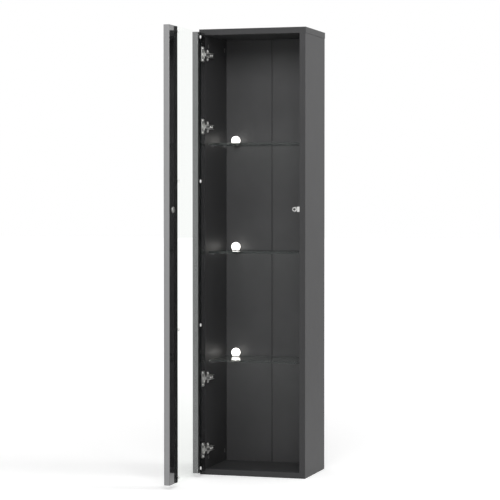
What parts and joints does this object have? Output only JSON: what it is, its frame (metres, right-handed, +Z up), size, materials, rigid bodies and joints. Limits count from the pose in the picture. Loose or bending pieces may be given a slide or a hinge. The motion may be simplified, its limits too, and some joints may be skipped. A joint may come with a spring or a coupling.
{
  "type": "glass display showcase",
  "caption": "Tall narrow display showcase: open-fronted board carcass with glass shelves and globe lights, and a framed glass door on concealed hinges with a touch latch.",
  "frame": {"origin": "middle of the underside of the bottom board, on the floor", "axes": "+Z up, -Y towards the open front, +X towards the latch side (the right-hand side seen from the front)"},
  "size_m": [0.302, 0.5002, 1.22],
  "materials": {
    "charcoal_board": "melamine-faced chipboard, charcoal, satin",
    "gloss_stile": "laminated board, high-gloss black faces, silver-grey edge band",
    "back_board": "thin melamine-faced board, charcoal, matte",
    "black_strip": "extruded, dark charcoal",
    "shelf_glass": "clear float glass, polished edges",
    "door_glass": "clear tempered glass",
    "peg_steel": "nickel plated",
    "pad_rubber": "soft pad",
    "cam_zinc": "die-cast zinc",
    "bolt_steel": "zinc plated",
    "beech_dowel": "fluted beech, raw",
    "hinge_steel": "pressed steel, nickel plated",
    "pin_steel": "bright steel",
    "screw_steel": "nickel plated",
    "glazing_tape": "black double-sided foam tape",
    "white_cap": "moulded, white",
    "latch_plastic": "moulded, white",
    "plunger_plastic": "moulded, black",
    "magnet": "ferrite",
    "strike_steel": "stamped, nickel plated",
    "globe_plastic": "opal diffuser, lit",
    "foot_plastic": "moulded, white"
  },
  "bodies": {
    "carcass": {"left_side_board": "charcoal_board", "right_side_board": "charcoal_board", "top_board": "charcoal_board", "bottom_board": "charcoal_board", "back_board_left": "back_board", "back_board_right": "back_board", "back_joining_strip": "black_strip", "glass_shelf_1": "shelf_glass", "shelf_pegs_1": "peg_steel", "globe_light_1": "globe_plastic", "globe_foot_1": "foot_plastic", "glass_shelf_2": "shelf_glass", "shelf_pegs_2": "peg_steel", "globe_light_2": "globe_plastic", "globe_foot_2": "foot_plastic", "glass_shelf_3": "shelf_glass", "shelf_pegs_3": "peg_steel", "globe_light_3": "globe_plastic", "globe_foot_3": "foot_plastic", "shelf_pads": "pad_rubber", "cam_locks": "cam_zinc", "cam_bolts": "bolt_steel", "dowels": "beech_dowel", "hinge_plate_1": "hinge_steel", "hinge_arm_1": "hinge_steel", "hinge_plate_2": "hinge_steel", "hinge_arm_2": "hinge_steel", "hinge_plate_3": "hinge_steel", "hinge_arm_3": "hinge_steel", "hinge_plate_4": "hinge_steel", "hinge_arm_4": "hinge_steel", "plate_screws": "screw_steel", "arm_screws": "screw_steel", "latch_screws": "screw_steel", "latch_bracket": "latch_plastic", "latch_barrel": "latch_plastic"},
    "door": {"door_stile_hinge": "gloss_stile", "door_stile_free": "gloss_stile", "door_glass": "door_glass", "glazing_tape_hinge": "glazing_tape", "glazing_tape_free": "glazing_tape", "glass_screws": "screw_steel", "glass_screw_caps": "white_cap", "cup_screws": "screw_steel", "strike_plate": "strike_steel", "strike_screw": "screw_steel", "hinge_cup_1": "hinge_steel", "hinge_cup_2": "hinge_steel", "hinge_cup_3": "hinge_steel", "hinge_cup_4": "hinge_steel", "hinge_pin_1": "pin_steel", "hinge_pin_2": "pin_steel", "hinge_pin_3": "pin_steel", "hinge_pin_4": "pin_steel"},
    "plunger": {"latch_plunger": "plunger_plastic", "latch_magnet": "magnet"}
  },
  "joints": [
    {"name": "door_hinge", "type": "hinge", "parent": "carcass", "child": "door", "pos_m": [-0.1386, -0.1131, 0.61], "axis": [0, 0, 1], "range_deg": [-15, 90]},
    {"name": "latch_push", "type": "slide", "parent": "carcass", "child": "plunger", "axis": [0, 1, 0], "range_m": [0, 0.005]}
  ]
}
